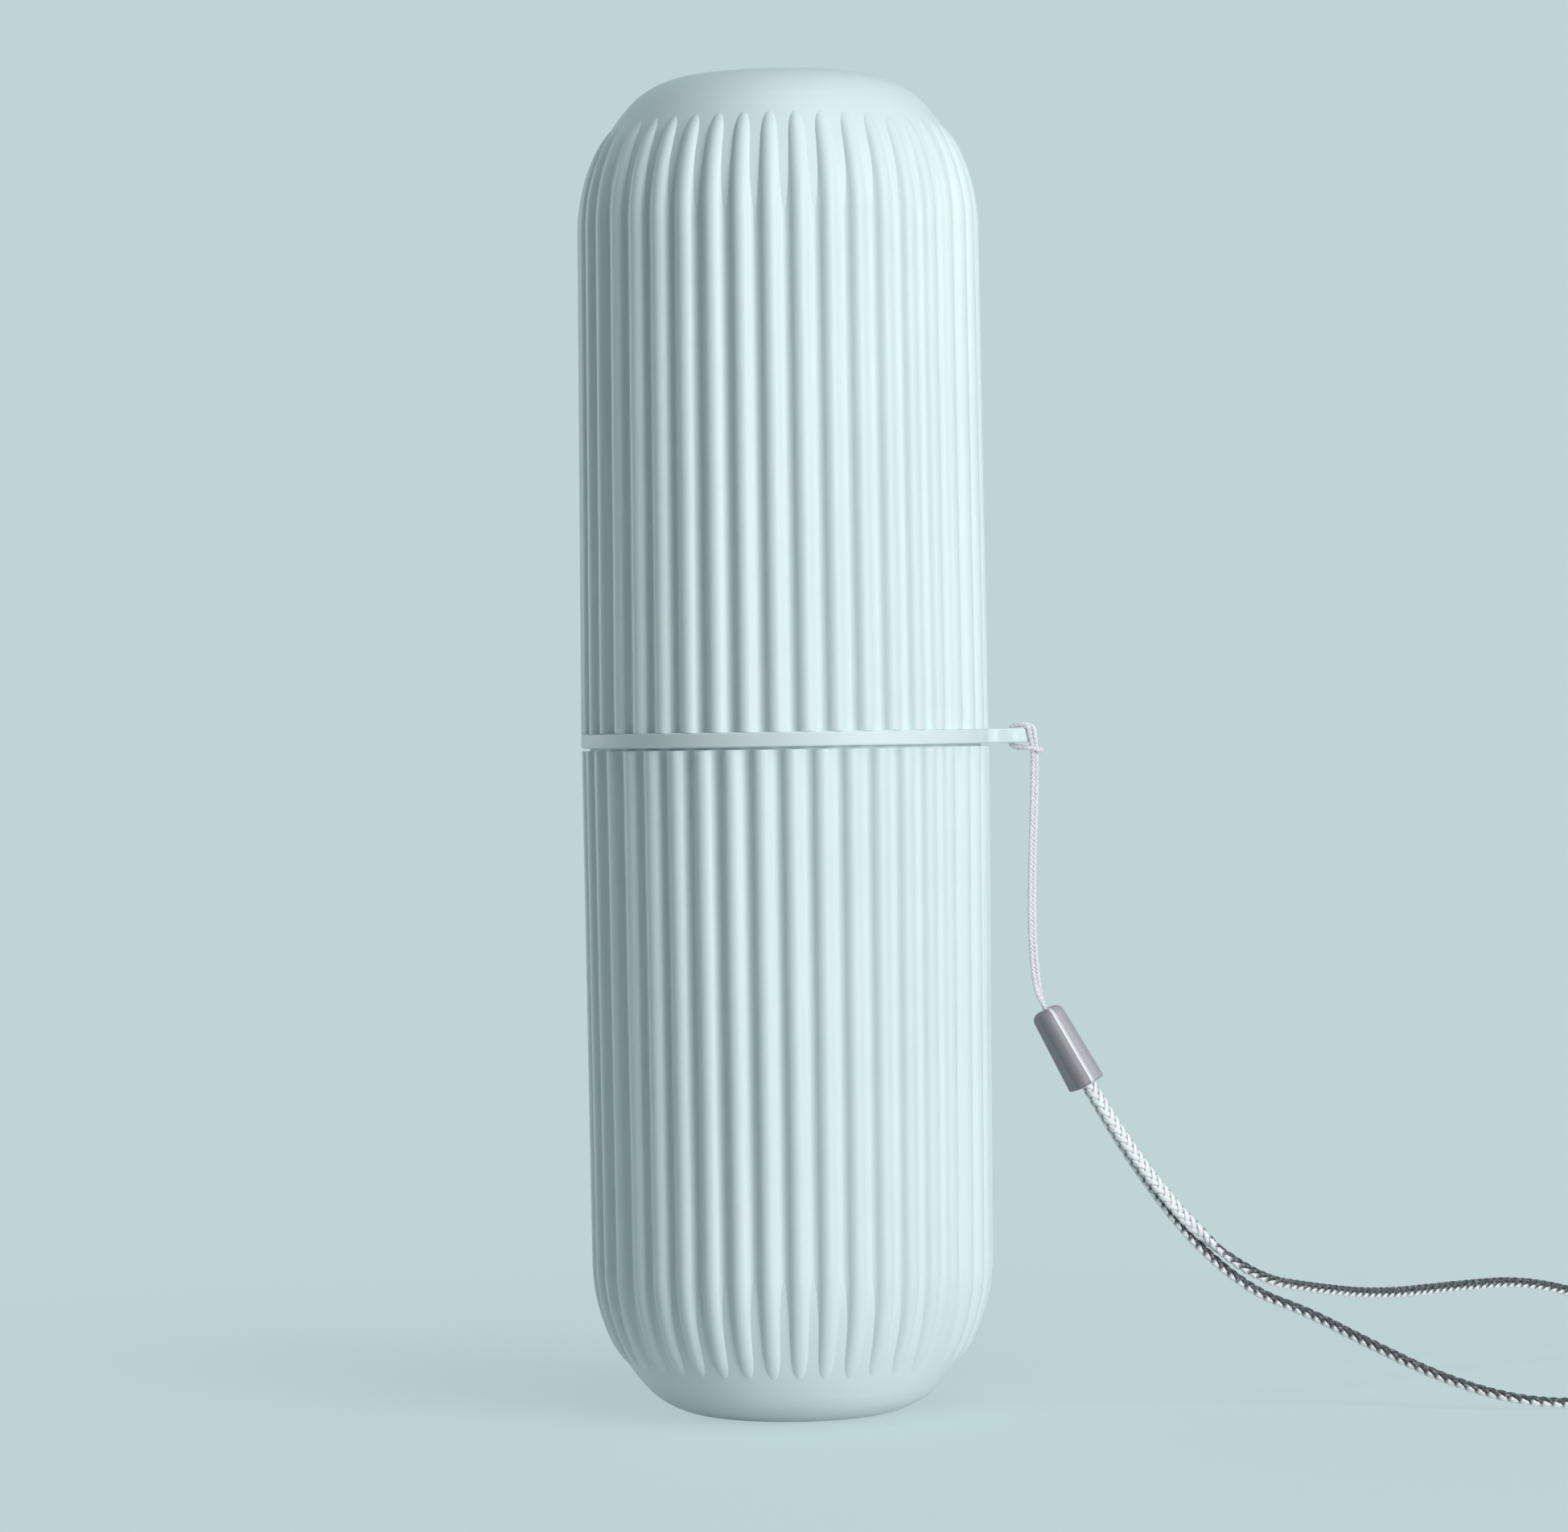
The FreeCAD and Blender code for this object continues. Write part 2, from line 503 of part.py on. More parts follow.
def build_clip_shell(name, half_turn):
    # A tapering half shell, rounded outside, with channels for the cord ends, their band and the strings.
    # Both shells are alike, and the back one is turned half round about the clip's length.
    body = document.addObject("PartDesign::Body", name)
    block = body.newObject("PartDesign::AdditiveWedge", f"{name}_block")
    block.Ymin = 0
    block.Zmin = 0
    block.Z2min = 0
    block.setExpression("Ymax", "Sizes.clip_length")
    block.setExpression("Xmin", "-Sizes.clip_foot_width / 2")
    block.setExpression("Xmax", "Sizes.clip_foot_width / 2")
    block.setExpression("X2min", "-Sizes.clip_head_width / 2")
    block.setExpression("X2max", "Sizes.clip_head_width / 2")
    block.setExpression("Zmax", "Sizes.clip_foot_thickness / 2")
    block.setExpression("Z2max", "Sizes.clip_head_thickness / 2")
    length = value("Sizes.clip_length")
    thin = near_share * value("Sizes.clip_edge_break")

    def off_parting(edge):
        return abs(edge.CenterOfMass.z) > thin

    def long_corner(edge):
        return off_parting(edge) and edge.BoundBox.YLength > length / 2

    def head_edge(edge):
        return off_parting(edge) and edge.BoundBox.YMin > length - thin

    def foot_edge(edge):
        return off_parting(edge) and edge.BoundBox.YMax < thin

    def parting_edge(edge):
        return not off_parting(edge) and edge.BoundBox.YLength > length / 2

    fillet = "PartDesign::Fillet"
    corners = dress(body, fillet, block, f"{name}_corners", "Sizes.clip_corner", long_corner)
    head = dress(body, fillet, corners, f"{name}_head", "Sizes.clip_head_round", head_edge)
    foot = dress(body, fillet, head, f"{name}_foot", "Sizes.clip_foot_round", foot_edge)
    dress(body, "PartDesign::Chamfer", foot, f"{name}_edge_break", "Sizes.clip_edge_break", parting_edge)
    cord_half = f"{cord_offset} + Sizes.cord_diameter / 2 + Sizes.clip_play"
    band_half = f"{cord_offset} + {crimp_outside} + Sizes.clip_play"
    string_half = "(Sizes.string_spread + Sizes.string_diameter) / 2 + Sizes.clip_play"
    channels = [
        ("cord_mouth", cord_half, "-Sizes.cut_overrun", "Sizes.clip_lip",
         "Sizes.cord_diameter / 2 + Sizes.clip_play"),
        ("band_chamber", band_half, "Sizes.clip_lip", chamber_end,
         f"{crimp_outside} + Sizes.clip_play"),
        ("string_channel", string_half, "Sizes.clip_length - Sizes.string_channel",
         "Sizes.clip_length + Sizes.cut_overrun", "Sizes.string_diameter / 2 + Sizes.clip_play"),
    ]
    for label, half, start, end, depth in channels:
        outline = sketch_on(body, "XY_Plane", f"{name}_{label}_section")
        draw_outline(outline, [(f"-({half})", start), (half, start), (half, end), (f"-({half})", end)])
        channel = body.newObject("PartDesign::Pocket", f"{name}_{label}")
        channel.Profile = outline
        channel.Reversed = True
        channel.setExpression("Length", depth)
        body.Tip = channel
    body.setExpression("Placement", clip_placement(half_turn))
    return body


def build_cord_crimp():
    # Oval metal band squeezed round the two cord ends inside the clip.
    body = document.addObject("PartDesign::Body", "cord_crimp")
    outline = sketch_on(body, "XZ_Plane", "band_section")
    outline.setExpression("AttachmentOffset.Base.z", f"-{crimp_start}")
    draw_stadium(outline, cord_offset, crimp_outside)
    draw_stadium(outline, cord_offset, crimp_bore)
    band = pad(body, outline, "band", "Sizes.crimp_length")
    band.Reversed = True
    body.setExpression("Placement", clip_placement(0))
    return body


def rounded_route(points):
    # Straight runs joined by tangent arcs, each as large as its two runs allow.
    edges = []
    radii = []
    start = points[0]
    for before, corner, after in zip(points, points[1:], points[2:]):
        back = before - corner
        ahead = after - corner
        reach = bend_share * min(back.Length, ahead.Length)
        back.normalize()
        ahead.normalize()
        half_turn = (math.pi - back.getAngle(ahead)) / 2
        radius = reach / math.tan(half_turn)
        inward = back + ahead
        inward.normalize()
        middle = corner + inward * (radius / math.cos(half_turn))
        arc_start = corner + back * reach
        arc_end = corner + ahead * reach
        edges.append(Part.LineSegment(start, arc_start).toShape())
        edges.append(Part.Arc(arc_start, middle - inward * radius, arc_end).toShape())
        radii.append(radius)
        start = arc_end
    edges.append(Part.LineSegment(start, points[-1]).toShape())
    return Part.Wire(edges), radii


def build_cord(name, route, diameter):
    points = [FreeCAD.Vector(*place) for place in route]
    wire, radii = rounded_route(points)
    radius = value(diameter) / 2
    ring = Part.Wire(Part.makeCircle(radius, points[0], points[1] - points[0]))
    tube = wire.makePipeShell([ring], True, False)
    feature = document.addObject("Part::Feature", name)
    feature.Shape = tube
    feature.Placement = FreeCAD.Placement()
    share = tube.Volume / (math.pi * radius ** 2 * wire.Length)
    print(f"{name}: length {wire.Length:.1f} mm, volume over section times length {share:.4f}")
    print(f"{name}: bend radii {', '.join(f'{size:.1f}' for size in radii)} mm")
    return feature


def check_document():
    failed = [thing.Name for thing in document.Objects if {"Invalid", "Error"} & set(thing.State)]
    if failed:
        raise RuntimeError(f"features that failed: {failed}")


def write_pieces(pieces):
    for piece in pieces:
        shape = piece.Shape
        if shape.isNull() or not shape.isValid() or len(shape.Solids) != 1:
            raise RuntimeError(f"{piece.Label} is not one sound solid")
    os.makedirs("parts", exist_ok=True)
    for piece in pieces:
        piece.Shape.exportStep(os.path.join("parts", f"{piece.Label}.step"))
        print(f"{piece.Label}: {piece.Shape.Volume:.1f} cubic mm, {len(piece.Shape.Faces)} faces")


pieces = [
    build_upper_cover(),
    build_lower_cup(),
    build_strap_ring(),
    build_clip_shell("clip_front_shell", 0),
    build_clip_shell("clip_back_shell", 180),
    build_cord_crimp(),
    build_cord("string_loop", string_route, "Sizes.string_diameter"),
    build_cord("wrist_cord", cord_route, "Sizes.cord_diameter"),
]
document.recompute()
check_document()
write_pieces(pieces)
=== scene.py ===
import math

import bmesh
import bpy
from mathutils import Euler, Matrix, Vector
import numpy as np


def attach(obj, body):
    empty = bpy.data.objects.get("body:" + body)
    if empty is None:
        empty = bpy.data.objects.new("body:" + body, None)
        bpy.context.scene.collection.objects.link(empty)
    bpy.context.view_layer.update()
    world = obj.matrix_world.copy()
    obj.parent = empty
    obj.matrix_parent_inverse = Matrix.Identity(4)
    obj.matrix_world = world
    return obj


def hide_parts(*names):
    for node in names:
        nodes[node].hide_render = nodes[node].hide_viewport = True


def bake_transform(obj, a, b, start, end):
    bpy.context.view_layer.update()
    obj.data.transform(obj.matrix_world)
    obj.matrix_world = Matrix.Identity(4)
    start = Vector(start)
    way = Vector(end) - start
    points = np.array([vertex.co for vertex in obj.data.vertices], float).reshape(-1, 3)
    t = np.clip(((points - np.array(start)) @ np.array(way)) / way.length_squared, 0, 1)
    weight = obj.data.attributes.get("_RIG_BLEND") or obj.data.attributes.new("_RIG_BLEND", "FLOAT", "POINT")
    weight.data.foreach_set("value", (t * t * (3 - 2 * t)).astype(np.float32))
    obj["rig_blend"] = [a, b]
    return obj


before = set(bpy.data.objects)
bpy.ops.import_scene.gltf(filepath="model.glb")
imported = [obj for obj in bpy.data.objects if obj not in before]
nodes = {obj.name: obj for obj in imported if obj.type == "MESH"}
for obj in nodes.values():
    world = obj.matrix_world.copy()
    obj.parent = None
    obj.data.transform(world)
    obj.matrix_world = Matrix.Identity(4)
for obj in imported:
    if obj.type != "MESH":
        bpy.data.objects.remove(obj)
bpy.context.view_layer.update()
mm = 0.001  # the scene is in metres
# socket numbers of the colour mix and map range nodes, whose socket names repeat
mixFactor, mixFirst, mixSecond, mixResult = 0, 6, 7, 2
fromLow, fromHigh, toLow, toHigh = 1, 2, 3, 4
print("frame loaded:", sorted(nodes))


def linearFrom(hexColour):
    # sRGB hex to the linear colour that a shader socket takes
    parts = [int(hexColour[place:place + 2], 16) / 255 for place in (1, 3, 5)]
    return [part / 12.92 if part <= 0.04045 else ((part + 0.055) / 1.055) ** 2.4 for part in parts] + [1.0]


def perMetre(sizeMm):
    return 1 / (sizeMm * mm)  # texture scale for a feature of that many millimetres


def addNode(tree, kind, settings=None, links=None):
    node = tree.nodes.new(kind)
    for key, value in (settings or {}).items():
        if isinstance(key, int) or key in node.inputs:
            node.inputs[key].default_value = value
        else:
            setattr(node, key, value)
    for key, source in (links or {}).items():
        tree.links.new(source, node.inputs[key])
    return node


def startMaterial(name, settings):
    material = bpy.data.materials.new(name)
    material.use_nodes = True
    tree = material.node_tree
    shader = tree.nodes["Principled BSDF"]
    for key, value in settings.items():
        shader.inputs[key].default_value = value
    return material, tree, shader


def wear(node, material):
    node.data.materials.clear()
    node.data.materials.append(material)


# Moulded polypropylene: soft broad highlight, a little light through the thin ribs, fine grain of the mould.
shellLook = {
    "pale": "#dfebec", "deep": "#d6e5e6",  # where the melt ran thin and thick
    "cloudMm": 26.0, "cloudDetail": 3.0,
    "grainMm": 0.22,  # the real grain is about 0.05 mm, drawn coarser so that it shows
    "grainDetail": 2.0, "grainDepthMm": 0.012, "grainStrength": 0.5,
    "ior": 1.49, "roughness": (0.44, 0.54),
    "scatter": 0.06, "scatterMm": 1.0, "scatterShares": (1.0, 1.1, 1.1),  # red, green, blue
}


def mouldedPolypropylene(name, look):
    material, tree, shader = startMaterial(name, {
        "IOR": look["ior"],
        "Subsurface Weight": look["scatter"],
        "Subsurface Radius": look["scatterShares"],
        "Subsurface Scale": look["scatterMm"] * mm,
    })
    place = addNode(tree, "ShaderNodeTexCoord").outputs["Object"]
    cloud = addNode(tree, "ShaderNodeTexNoise", {
        "Scale": perMetre(look["cloudMm"]), "Detail": look["cloudDetail"],
    }, {"Vector": place})
    grain = addNode(tree, "ShaderNodeTexNoise", {
        "Scale": perMetre(look["grainMm"]), "Detail": look["grainDetail"],
    }, {"Vector": place})
    tint = addNode(tree, "ShaderNodeMix", {
        "data_type": "RGBA", mixFirst: linearFrom(look["pale"]), mixSecond: linearFrom(look["deep"]),
    }, {mixFactor: cloud.outputs[0]})
    gloss = addNode(tree, "ShaderNodeMapRange", {
        toLow: look["roughness"][0], toHigh: look["roughness"][1],
    }, {0: grain.outputs[0]})
    bump = addNode(tree, "ShaderNodeBump", {
        "Strength": look["grainStrength"], "Distance": look["grainDepthMm"] * mm,
    }, {"Height": grain.outputs[0]})
    tree.links.new(tint.outputs[mixResult], shader.inputs["Base Color"])
    tree.links.new(gloss.outputs[0], shader.inputs["Roughness"])
    tree.links.new(bump.outputs[0], shader.inputs["Normal"])
    return material


shellPlastic = mouldedPolypropylene("mintPolypropyleneMoulded", shellLook)
for name in ("upper_cover", "lower_cup", "strap_ring"):
    wear(nodes[name], shellPlastic)

# Moulded ABS of the clip: mid grey satin, speckled by the mould, with a painted highlight along the line
# where the shells part.
clipLook = {
    # one grey plastic: the front shell is painted darker as painted shade, the back shell lighter as painted
    # light
    "litAndShadedGreys": {"clip_front_shell": ("#8a888e", "#7b797f"), "clip_back_shell": ("#a8a6ad", "#9a989f")},
    "speckMm": 0.5, "speckDetail": 3.0, "bumpMm": 0.015, "bumpStrength": 0.4,
    "ior": 1.54, "roughness": 0.46,
    # painted highlight: a pale line where the shells part, standing in for light caught on their edges
    "paintedHighlight": "#f4f4f8",
    "seamFoot": (0.0451, 0.0, 0.04895),  # middle of the clip's lower end
    "seamLean": 28.5, "seamTwist": 70.0,  # degrees
    "seamMm": (0.17, 0.30),  # half width of the pale line, where it starts and ends to fade
}


def mouldedAbs(name, look, grey, speckGrey):
    material, tree, shader = startMaterial(name, {"IOR": look["ior"], "Roughness": look["roughness"]})
    place = addNode(tree, "ShaderNodeTexCoord").outputs["Object"]
    speck = addNode(tree, "ShaderNodeTexNoise", {
        "Scale": perMetre(look["speckMm"]), "Detail": look["speckDetail"],
    }, {"Vector": place})
    plain = addNode(tree, "ShaderNodeMix", {
        "data_type": "RGBA", mixFirst: linearFrom(grey), mixSecond: linearFrom(speckGrey),
    }, {mixFactor: speck.outputs[0]})
    # distance from the plane between the shells, which leans and twists with the clip
    seamNormal = Vector((0.0, -1.0, 0.0))
    seamNormal.rotate(Euler((0.0, 0.0, -math.radians(look["seamTwist"]))))
    seamNormal.rotate(Euler((0.0, -math.radians(look["seamLean"]), 0.0)))
    fromFoot = addNode(tree, "ShaderNodeVectorMath", {
        "operation": "SUBTRACT", 1: look["seamFoot"],
    }, {0: place})
    offset = addNode(tree, "ShaderNodeVectorMath", {
        "operation": "DOT_PRODUCT", 1: seamNormal,
    }, {0: fromFoot.outputs[0]})
    away = addNode(tree, "ShaderNodeMath", {"operation": "ABSOLUTE"}, {0: offset.outputs["Value"]})
    # painted highlight mask: 1 on the plane between the shells, fading to 0 away from it
    highlightMask = addNode(tree, "ShaderNodeMapRange", {
        fromLow: look["seamMm"][0] * mm, fromHigh: look["seamMm"][1] * mm, toLow: 1.0, toHigh: 0.0,
    }, {0: away.outputs[0]})
    tint = addNode(tree, "ShaderNodeMix", {
        "data_type": "RGBA", mixSecond: linearFrom(look["paintedHighlight"]),
    }, {mixFactor: highlightMask.outputs[0], mixFirst: plain.outputs[mixResult]})
    bump = addNode(tree, "ShaderNodeBump", {
        "Strength": look["bumpStrength"], "Distance": look["bumpMm"] * mm,
    }, {"Height": speck.outputs[0]})
    tree.links.new(tint.outputs[mixResult], shader.inputs["Base Color"])
    tree.links.new(bump.outputs[0], shader.inputs["Normal"])
    return material


# each shell takes its painted shade or painted light grey
for name, litAndShadedGreys in clipLook["litAndShadedGreys"].items():
    wear(nodes[name], mouldedAbs("mouldedAbs_" + name, clipLook, *litAndShadedGreys))

# Pressed steel strip: bright, with the faint lengthwise streaks of rolling.
crimpLook = {
    "bright": "#b9b9bb", "dull": "#97979a", "roughness": (0.26, 0.42),
    "streakMm": 0.12, "streakDetail": 2.0,
    "streakScale": (1.0, 1.0, 0.1),  # ten times as long as wide
}


def pressedSteel(name, look):
    material, tree, shader = startMaterial(name, {"Metallic": 1.0})
    place = addNode(tree, "ShaderNodeTexCoord").outputs["Object"]
    streaks = addNode(tree, "ShaderNodeMapping", {"Scale": look["streakScale"]}, {"Vector": place})
    roll = addNode(tree, "ShaderNodeTexNoise", {
        "Scale": perMetre(look["streakMm"]), "Detail": look["streakDetail"],
    }, {"Vector": streaks.outputs[0]})
    tint = addNode(tree, "ShaderNodeMix", {
        "data_type": "RGBA", mixFirst: linearFrom(look["bright"]), mixSecond: linearFrom(look["dull"]),
    }, {mixFactor: roll.outputs[0]})
    gloss = addNode(tree, "ShaderNodeMapRange", {
        toLow: look["roughness"][0], toHigh: look["roughness"][1],
    }, {0: roll.outputs[0]})
    tree.links.new(tint.outputs[mixResult], shader.inputs["Base Color"])
    tree.links.new(gloss.outputs[0], shader.inputs["Roughness"])
    return material


wear(nodes["cord_crimp"], pressedSteel("pressedSteelStrip", crimpLook))
print("moulded pieces finished")

lineDetail = 32  # points of a line for each span of its route
weldGap = 1e-7  # closes the seam of a tube


def routeLine(route):
    # points along the smooth spline of a route
    curve = bpy.data.curves.new("routeCurve", "CURVE")
    curve.dimensions = "3D"
    spline = curve.splines.new("NURBS")
    spline.points.add(len(route) - 1)
    for point, place in zip(spline.points, route):
        point.co = (*place, 1)
    spline.order_u = 3
    spline.use_endpoint_u = True
    spline.resolution_u = lineDetail
    holder = bpy.data.objects.new("routeHolder", curve)
    mesh = bpy.data.meshes.new_from_object(holder)
    line = [vert.co.copy() for vert in mesh.vertices]
    bpy.data.meshes.remove(mesh)
    bpy.data.objects.remove(holder)
    bpy.data.curves.remove(curve)
    return line


def lineLength(line):
    return sum((after - before).length for before, after in zip(line, line[1:]))


def evenPlaces(line, count):
    # count + 1 places spaced evenly along the line
    run = lineLength(line) / count
    places = [line[0].copy()]
    spent = 0.0
    for before, after in zip(line, line[1:]):
        leg = (after - before).length
        while leg and spent + leg >= run * len(places) and len(places) < count:
            places.append(before.lerp(after, (run * len(places) - spent) / leg))
        spent += leg
    places.append(line[-1].copy())
    return places


def facing(stops, share):
    # direction of the cord's white face at a share of its length
    for (low, first), (high, second) in zip(stops, stops[1:]):
        if share <= high:
            part = (share - low) / (high - low)
            return Vector(first).lerp(Vector(second), part * part * (3 - 2 * part))
    return Vector(stops[-1][1])


def cordFrames(line, size, stops):
    # place, direction of the width and direction of the white face, step by step
    steps = math.ceil(lineLength(line) / (size["leadMm"] * mm) * size["stepsPerLead"])
    places = evenPlaces(line, steps)
    frames = []
    for number, place in enumerate(places):
        ahead = places[min(number + 1, steps)] - places[max(number - 1, 0)]
        wide = ahead.cross(facing(stops, number / steps)).normalized()
        frames.append((place, wide, wide.cross(ahead).normalized()))
    return frames


def carrierRings(frames, size, carrier, way):
    # ovals along one carrier's yarn, each over two others and under two, and how white each is
    steps = len(frames) - 1
    turns = steps / size["stepsPerLead"]
    half, thick = size["halfWidthMm"] * mm, size["halfThickMm"] * mm
    start = (carrier + size["firstCarrier"]) / size["carriersEachWay"]
    waves = size["carriersEachWay"] / 2
    spots = []
    outs = []
    whites = []
    for number, (middle, wide, face) in enumerate(frames):
        turn = math.tau * (start + way * turns * number / steps)
        out = (wide * math.cos(turn) / half + face * math.sin(turn) / thick).normalized()
        lift = way * size["weaveMm"] * mm * math.sin(waves * turn)
        around = middle + wide * half * math.cos(turn) + face * thick * math.sin(turn)
        spots.append(around + out * lift)
        outs.append(out)
        whites.append(1.0 if math.sin(turn) > size["whiteEdge"] else 0.0)
    rings = []
    for number, (spot, out) in enumerate(zip(spots, outs)):
        ahead = spots[min(number + 1, steps)] - spots[max(number - 1, 0)]
        across = ahead.cross(out).normalized()
        rings.append((spot, across * size["strandHalfWidthMm"] * mm,
                      across.cross(ahead).normalized() * size["strandHalfThickMm"] * mm))
    return rings, whites


def addTube(bm, rings, sides, whiteAt):
    # a unit grid rolled up round the rings, each a middle and two half axes
    steps = len(rings) - 1
    white = bm.verts.layers.float["whiteFace"]
    made = bmesh.ops.create_grid(bm, x_segments=steps, y_segments=sides, size=0.5, calc_uvs=True)
    for vert in made["verts"]:
        number = round((vert.co.x + 0.5) * steps)
        turn = math.tau * (vert.co.y + 0.5)
        middle, across, out = rings[number]
        vert.co = middle + across * math.cos(turn) + out * math.sin(turn)
        vert[white] = whiteAt(number, turn)


def braid(name, line, size, stops, material):
    # carriers wind both ways round an oval core, so that the faces show chevrons
    frames = cordFrames(line, size, stops)
    bm = bmesh.new()
    bm.loops.layers.uv.new("UVMap")
    bm.verts.layers.float.new("whiteFace")

    def coreWhite(number, turn):
        return size["coreWhite"] if math.sin(turn) > size["whiteEdge"] else 0.0

    half, thick = size["halfWidthMm"] * mm, size["halfThickMm"] * mm
    shrink = size["coreShare"]
    core = [(middle, wide * half * shrink, face * thick * shrink) for middle, wide, face in frames]
    addTube(bm, core, size["strandSides"], coreWhite)
    for way in (1, -1):
        for carrier in range(size["carriersEachWay"]):
            rings, whites = carrierRings(frames, size, carrier, way)
            addTube(bm, rings, size["strandSides"], lambda number, turn: whites[number])
    bmesh.ops.remove_doubles(bm, verts=bm.verts, dist=weldGap)
    bmesh.ops.holes_fill(bm, edges=[edge for edge in bm.edges if edge.is_boundary])
    bmesh.ops.recalc_face_normals(bm, faces=bm.faces)
    for surface in bm.faces:
        surface.smooth = True
    mesh = bpy.data.meshes.new(name)
    bm.to_mesh(mesh)
    bm.free()
    mesh.materials.append(material)
    piece = bpy.data.objects.new(name, mesh)
    bpy.context.scene.collection.objects.link(piece)
    print(name, "has", len(mesh.polygons), "faces over", round(lineLength(line) / mm, 1), "mm")
    return piece


# Braided nylon: bright filament bundles on the white face with painted shade in the grooves between them,
# charcoal ones with light flecks on the other.
yarnLook = {
    "white": "#fbfdfe", "whiteGrooveShade": "#eceef1", "charcoal": "#393e42", "fleck": "#9a9aa1",
    "fleckMm": 0.35, "fleckDetail": 1.0,
    "fleckFrom": 0.56, "fleckFull": 0.66,  # noise at which a fleck starts and is full
    "filamentsPerStrand": 3,  # real strands hold some dozens, too fine to show
    "stray": 1.5, "strayDetail": 1.0, "strayScale": 2.0,  # how the filaments leave a straight line
    "filamentMm": 0.04, "filamentStrength": 0.3,
    "ior": 1.53, "roughness": 0.5, "sheen": 0.15, "sheenRoughness": 0.4,
}
waveRadians = 20  # what a wave node of scale 1 turns in one unit


def braidedNylon(name, look, leadMm, lengthMm):
    material, tree, shader = startMaterial(name, {
        "IOR": look["ior"], "Roughness": look["roughness"],
        "Sheen Weight": look["sheen"], "Sheen Roughness": look["sheenRoughness"],
    })
    coords = addNode(tree, "ShaderNodeTexCoord")
    side = addNode(tree, "ShaderNodeAttribute", {"attribute_name": "whiteFace"})
    fleck = addNode(tree, "ShaderNodeTexNoise", {
        "Scale": perMetre(look["fleckMm"]), "Detail": look["fleckDetail"],
    }, {"Vector": coords.outputs["Object"]})
    flecked = addNode(tree, "ShaderNodeMapRange", {
        fromLow: look["fleckFrom"], fromHigh: look["fleckFull"], toLow: 0.0, toHigh: 1.0,
    }, {0: fleck.outputs[0]})
    stretch = addNode(tree, "ShaderNodeMapping", {
        "Scale": (lengthMm / leadMm, 1.0, 1.0),
    }, {"Vector": coords.outputs["UV"]})
    filament = addNode(tree, "ShaderNodeTexWave", {
        "bands_direction": "Y", "Scale": look["filamentsPerStrand"] * math.tau / waveRadians,
        "Distortion": look["stray"], "Detail": look["strayDetail"], "Detail Scale": look["strayScale"],
    }, {"Vector": stretch.outputs[0]})
    # painted shade: the grooves between filaments, low in the bump, take the greyer tone
    pale = addNode(tree, "ShaderNodeMix", {
        "data_type": "RGBA", mixFirst: linearFrom(look["whiteGrooveShade"]), mixSecond: linearFrom(look["white"]),
    }, {mixFactor: filament.outputs["Fac"]})
    dark = addNode(tree, "ShaderNodeMix", {
        "data_type": "RGBA", mixFirst: linearFrom(look["charcoal"]), mixSecond: linearFrom(look["fleck"]),
    }, {mixFactor: flecked.outputs[0]})
    tint = addNode(tree, "ShaderNodeMix", {"data_type": "RGBA"}, {
        mixFactor: side.outputs["Fac"], mixFirst: dark.outputs[mixResult], mixSecond: pale.outputs[mixResult],
    })
    bump = addNode(tree, "ShaderNodeBump", {
        "Strength": look["filamentStrength"], "Distance": look["filamentMm"] * mm,
    }, {"Height": filament.outputs["Fac"]})
    tree.links.new(tint.outputs[mixResult], shader.inputs["Base Color"])
    tree.links.new(bump.outputs[0], shader.inputs["Normal"])
    return material


wristCord = {
    "exit": (0.0455, -0.0008, 0.0489), "length": 0.355, "diameter": 0.0016,
    "route": [
        (0.0436, -0.0008, 0.05232), (0.04693, -0.0008, 0.04618), (0.0544, -0.00075, 0.0347),
        (0.0622, -0.0005, 0.0254), (0.0712, 0.0007, 0.0188), (0.0798, 0.009, 0.0165),
        (0.0915, 0.021, 0.014), (0.1045, 0.0335, 0.0138), (0.1185, 0.045, 0.0134),
        (0.1355, 0.0555, 0.0076), (0.1525, 0.06, 0.0008), (0.167, 0.051, 0.0008),
        (0.173, 0.035, 0.0008), (0.1685, 0.017, 0.0008), (0.1545, 0.0035, 0.0008),
        (0.138, -0.0055, 0.0008), (0.122, -0.011, 0.0008), (0.1095, -0.0124, 0.0012),
        (0.098, -0.0094, 0.0043), (0.087, -0.0044, 0.0094), (0.078, -0.0012, 0.014),
        (0.07, -0.0007, 0.017), (0.0614, 0.0005, 0.0241), (0.0537, 0.00075, 0.0341),
        (0.04642, 0.0008, 0.04591), (0.04309, 0.0008, 0.05205),
    ],
    "braid": {
        "leadMm": 6.4, "stepsPerLead": 16, "carriersEachWay": 4,
        "firstCarrier": 0.25,  # how far round the first carrier starts, as a share of their spacing
        "halfWidthMm": 0.78, "halfThickMm": 0.42, "weaveMm": 0.15,
        "strandHalfWidthMm": 0.38, "strandHalfThickMm": 0.18, "strandSides": 8,
        "coreShare": 0.84, "coreWhite": 0.85, "whiteEdge": -0.05,
    },
    # where the white face looks, by share of the length
    "facing": [
        (0.0, (0.2, -1.0, 0.2)), (0.06, (0.2, -1.0, 0.2)), (0.13, (-0.2, 0.55, -1.0)),
        (0.30, (0.0, 0.7, -1.0)), (0.70, (0.0, 0.2, -1.0)), (0.86, (0.0, 0.3, -1.0)),
        (0.91, (-0.8, 0.3, -0.5)), (1.0, (-0.8, 0.3, -0.5)),
    ],
}
cordLine = routeLine(wristCord["route"])
cordYarn = braidedNylon("twoToneBraidedNylon", yarnLook, wristCord["braid"]["leadMm"],
                        lineLength(cordLine) / mm)
cordPiece = braid("wrist_cord_braid", cordLine, wristCord["braid"], wristCord["facing"], cordYarn)
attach(cordPiece, "lanyard")
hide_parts("wrist_cord")

